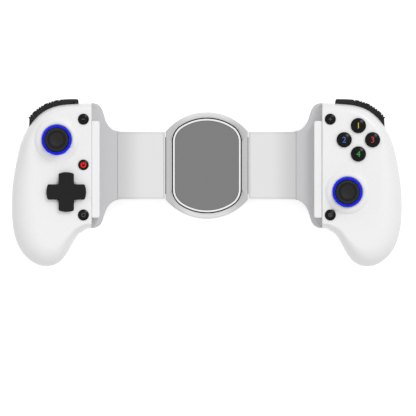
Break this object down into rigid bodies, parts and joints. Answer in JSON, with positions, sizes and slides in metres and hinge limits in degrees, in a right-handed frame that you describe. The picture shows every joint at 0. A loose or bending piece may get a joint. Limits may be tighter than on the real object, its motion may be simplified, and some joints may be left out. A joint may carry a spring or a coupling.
{
  "type": "mobile game controller",
  "caption": "Stretching game controller for a phone: two handled grips with sticks, direction pad, buttons and triggers on arms that slide out of a round middle housing with a grey pad.",
  "frame": {"origin": "middle of the phone pad's top face on the middle housing", "axes": "+X towards the right grip, +Y towards the triggers, +Z out of the front face"},
  "size_m": [0.2602, 0.1117, 0.0425],
  "materials": {
    "white_shell": "smooth moulded ABS, satin gloss",
    "arm_shell": "smooth moulded ABS, satin",
    "black_button": "glossy black ABS",
    "black_rubber": "matt rubber",
    "trigger_black": "fine textured ABS",
    "pad_grey": "flat grey sheet",
    "light_blue": "lit diffuser",
    "screw_steel": "blackened steel",
    "pin_steel": "turned steel",
    "board_green": "solder mask",
    "inner_grey": "moulded nylon",
    "foil_silver": "pouch foil"
  },
  "bodies": {
    "middle": {"middle_back_cover": "white_shell", "middle_front_cover": "white_shell", "pad_ring": "white_shell", "phone_pad": "pad_grey", "middle_screws": "screw_steel", "pinion_pin": "pin_steel", "left_slide_rail": "inner_grey", "right_slide_rail": "inner_grey", "left_return_springs": "pin_steel", "right_return_springs": "pin_steel"},
    "pinion": {"pinion": "inner_grey"},
    "left_grip": {"left_front_shell": "white_shell", "left_back_shell": "white_shell", "left_arm_cover": "arm_shell", "left_clamp_pad": "white_shell", "left_shell_screws": "screw_steel", "left_circuit_board": "board_green", "left_button_membrane": "black_rubber", "left_stick_housing": "inner_grey", "left_light_ring": "light_blue", "left_lever_pins": "pin_steel", "left_trigger_spring": "pin_steel", "left_rack": "inner_grey"},
    "left_stick_yoke": {"left_stick_yoke": "inner_grey"},
    "left_stick_stem": {"left_stick_stem": "trigger_black"},
    "left_stick_cap": {"left_stick_cap": "black_rubber"},
    "left_bumper": {"left_bumper": "trigger_black"},
    "left_trigger": {"left_trigger": "trigger_black"},
    "left_back_key": {"left_back_key": "black_button"},
    "left_upper_button": {"left_upper_button": "black_button"},
    "left_middle_button": {"left_middle_button": "black_button"},
    "left_lower_button": {"left_lower_button": "black_button"},
    "right_grip": {"right_front_shell": "white_shell", "right_back_shell": "white_shell", "right_arm_cover": "arm_shell", "right_clamp_pad": "white_shell", "right_shell_screws": "screw_steel", "right_circuit_board": "board_green", "right_button_membrane": "black_rubber", "right_stick_housing": "inner_grey", "right_light_ring": "light_blue", "right_lever_pins": "pin_steel", "right_trigger_spring": "pin_steel", "right_rack": "inner_grey", "charging_port": "pin_steel", "battery": "foil_silver"},
    "right_stick_yoke": {"right_stick_yoke": "inner_grey"},
    "right_stick_stem": {"right_stick_stem": "trigger_black"},
    "right_stick_cap": {"right_stick_cap": "black_rubber"},
    "right_bumper": {"right_bumper": "trigger_black"},
    "right_trigger": {"right_trigger": "trigger_black"},
    "right_back_key": {"right_back_key": "black_button"},
    "right_upper_button": {"right_upper_button": "black_button"},
    "right_lower_button": {"right_lower_button": "black_button"},
    "face_button_top": {"face_button_top": "black_button"},
    "face_button_bottom": {"face_button_bottom": "black_button"},
    "face_button_inner": {"face_button_inner": "black_button"},
    "face_button_outer": {"face_button_outer": "black_button"},
    "direction_pad_pivot": {"direction_pad_pivot": "pin_steel"},
    "direction_pad": {"direction_pad": "trigger_black"}
  },
  "joints": [
    {"name": "left_grip_slide", "type": "slide", "parent": "middle", "child": "left_grip", "axis": [-1, 0, 0], "range_m": [0, 0.032], "stiffness_N_per_m": 60, "springref_m": -0.05, "deforming": ["left_return_springs"]},
    {"name": "right_grip_slide", "type": "slide", "parent": "middle", "child": "right_grip", "axis": [1, 0, 0], "range_m": [0, 0.032], "stiffness_N_per_m": 60, "springref_m": -0.05, "deforming": ["right_return_springs"]},
    {"name": "pinion_turn", "type": "hinge", "parent": "middle", "child": "pinion", "pos_m": [0, 0, -0.0065], "axis": [0, 0, 1], "range_deg": [0, 306]},
    {"name": "left_stick_pitch", "type": "hinge", "parent": "left_grip", "child": "left_stick_yoke", "pos_m": [-0.09996, 0.0171, -0.003], "axis": [1, 0, 0], "range_deg": [-13, 13], "stiffness_Nm_per_rad": 0.03},
    {"name": "left_stick_roll", "type": "hinge", "parent": "left_stick_yoke", "child": "left_stick_stem", "pos_m": [-0.09996, 0.0171, -0.003], "axis": [0, 1, 0], "range_deg": [-13, 13], "stiffness_Nm_per_rad": 0.03},
    {"name": "left_stick_click", "type": "slide", "parent": "left_stick_stem", "child": "left_stick_cap", "axis": [0, 0, -1], "range_m": [0, 0.0005], "stiffness_N_per_m": 800, "springref_m": -0.0005},
    {"name": "left_bumper_press", "type": "hinge", "parent": "left_grip", "child": "left_bumper", "pos_m": [-0.08661, 0.0386, 0], "axis": [0, 0, 1], "range_deg": [0, 2.2], "stiffness_Nm_per_rad": 0.3, "springref_deg": -5.73},
    {"name": "left_trigger_press", "type": "hinge", "parent": "left_grip", "child": "left_trigger", "pos_m": [-0.09151, 0.03122, 0], "axis": [0, 0, 1], "range_deg": [0, 3.5], "stiffness_Nm_per_rad": 0.3, "springref_deg": -5.73},
    {"name": "left_back_key_press", "type": "slide", "parent": "left_grip", "child": "left_back_key", "axis": [-0.454, 0, 0.891], "range_m": [0, 0.0006], "stiffness_N_per_m": 600, "springref_m": -0.0006},
    {"name": "left_upper_button_press", "type": "slide", "parent": "left_grip", "child": "left_upper_button", "axis": [0, 0, -1], "range_m": [0, 0.0005], "stiffness_N_per_m": 500, "springref_m": -0.0005},
    {"name": "left_middle_button_press", "type": "slide", "parent": "left_grip", "child": "left_middle_button", "axis": [0, 0, -1], "range_m": [0, 0.0005], "stiffness_N_per_m": 500, "springref_m": -0.0005},
    {"name": "left_lower_button_press", "type": "slide", "parent": "left_grip", "child": "left_lower_button", "axis": [0, 0, -1], "range_m": [0, 0.0005], "stiffness_N_per_m": 500, "springref_m": -0.0005},
    {"name": "right_stick_pitch", "type": "hinge", "parent": "right_grip", "child": "right_stick_yoke", "pos_m": [0.09364, -0.0177, -0.003], "axis": [1, 0, 0], "range_deg": [-13, 13], "stiffness_Nm_per_rad": 0.03},
    {"name": "right_stick_roll", "type": "hinge", "parent": "right_stick_yoke", "child": "right_stick_stem", "pos_m": [0.09364, -0.0177, -0.003], "axis": [0, 1, 0], "range_deg": [-13, 13], "stiffness_Nm_per_rad": 0.03},
    {"name": "right_stick_click", "type": "slide", "parent": "right_stick_stem", "child": "right_stick_cap", "axis": [0, 0, -1], "range_m": [0, 0.0005], "stiffness_N_per_m": 800, "springref_m": -0.0005},
    {"name": "right_bumper_press", "type": "hinge", "parent": "right_grip", "child": "right_bumper", "pos_m": [0.08661, 0.0386, 0], "axis": [0, 0, -1], "range_deg": [0, 2.2], "stiffness_Nm_per_rad": 0.3, "springref_deg": -5.73},
    {"name": "right_trigger_press", "type": "hinge", "parent": "right_grip", "child": "right_trigger", "pos_m": [0.09151, 0.03122, 0], "axis": [0, 0, -1], "range_deg": [0, 3.5], "stiffness_Nm_per_rad": 0.3, "springref_deg": -5.73},
    {"name": "right_back_key_press", "type": "slide", "parent": "right_grip", "child": "right_back_key", "axis": [0.454, 0, 0.891], "range_m": [0, 0.0006], "stiffness_N_per_m": 600, "springref_m": -0.0006},
    {"name": "right_upper_button_press", "type": "slide", "parent": "right_grip", "child": "right_upper_button", "axis": [0, 0, -1], "range_m": [0, 0.0005], "stiffness_N_per_m": 500, "springref_m": -0.0005},
    {"name": "right_lower_button_press", "type": "slide", "parent": "right_grip", "child": "right_lower_button", "axis": [0, 0, -1], "range_m": [0, 0.0005], "stiffness_N_per_m": 500, "springref_m": -0.0005},
    {"name": "face_button_top_press", "type": "slide", "parent": "right_grip", "child": "face_button_top", "axis": [0, 0, -1], "range_m": [0, 0.0012], "stiffness_N_per_m": 400, "springref_m": -0.0005},
    {"name": "face_button_bottom_press", "type": "slide", "parent": "right_grip", "child": "face_button_bottom", "axis": [0, 0, -1], "range_m": [0, 0.0012], "stiffness_N_per_m": 400, "springref_m": -0.0005},
    {"name": "face_button_inner_press", "type": "slide", "parent": "right_grip", "child": "face_button_inner", "axis": [0, 0, -1], "range_m": [0, 0.0012], "stiffness_N_per_m": 400, "springref_m": -0.0005},
    {"name": "face_button_outer_press", "type": "slide", "parent": "right_grip", "child": "face_button_outer", "axis": [0, 0, -1], "range_m": [0, 0.0012], "stiffness_N_per_m": 400, "springref_m": -0.0005},
    {"name": "direction_pad_pitch", "type": "hinge", "parent": "left_grip", "child": "direction_pad_pivot", "pos_m": [-0.09364, -0.0177, 0.004], "axis": [1, 0, 0], "range_deg": [-3, 3], "stiffness_Nm_per_rad": 0.1},
    {"name": "direction_pad_roll", "type": "hinge", "parent": "direction_pad_pivot", "child": "direction_pad", "pos_m": [-0.09364, -0.0177, 0.004], "axis": [0, 1, 0], "range_deg": [-3, 3], "stiffness_Nm_per_rad": 0.1}
  ],
  "couplings": [
    {"joint": "right_grip_slide", "follows": "left_grip_slide", "ratio": 1},
    {"joint": "pinion_turn", "follows": "left_grip_slide", "rad_per_m": 166.67}
  ]
}
